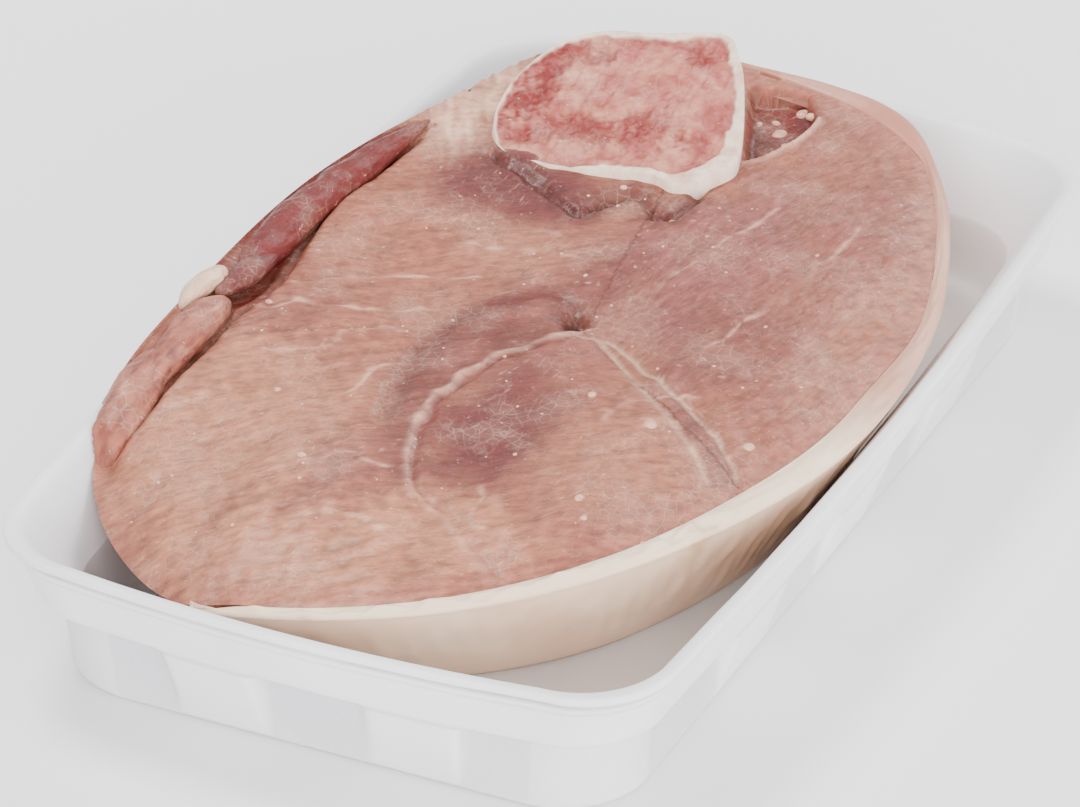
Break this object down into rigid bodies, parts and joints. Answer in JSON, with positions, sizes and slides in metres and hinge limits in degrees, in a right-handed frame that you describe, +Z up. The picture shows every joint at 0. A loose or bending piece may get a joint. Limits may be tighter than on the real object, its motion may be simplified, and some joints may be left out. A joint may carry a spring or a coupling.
{
  "type": "meat tray pack",
  "caption": "Thick bone-in leg slice of raw meat with its band of fat and rind, lying in a fluted white foam tray with open corners.",
  "frame": {"origin": "centre of the tray's base footprint, on the surface it stands on", "axes": "+Z up, +Y along the tray's long side towards the bone, X across the tray"},
  "size_m": [0.1372, 0.2262, 0.0509],
  "materials": {
    "tray_foam": "smooth expanded foam",
    "lean_meat": "moist cut muscle",
    "fat_rind": "moist fat and skin",
    "cut_bone": "cut spongy bone"
  },
  "bodies": {
    "root": {"tray": "tray_foam", "lean_meat": "lean_meat", "fat_band": "fat_rind", "bone": "cut_bone"}
  },
  "joints": []
}
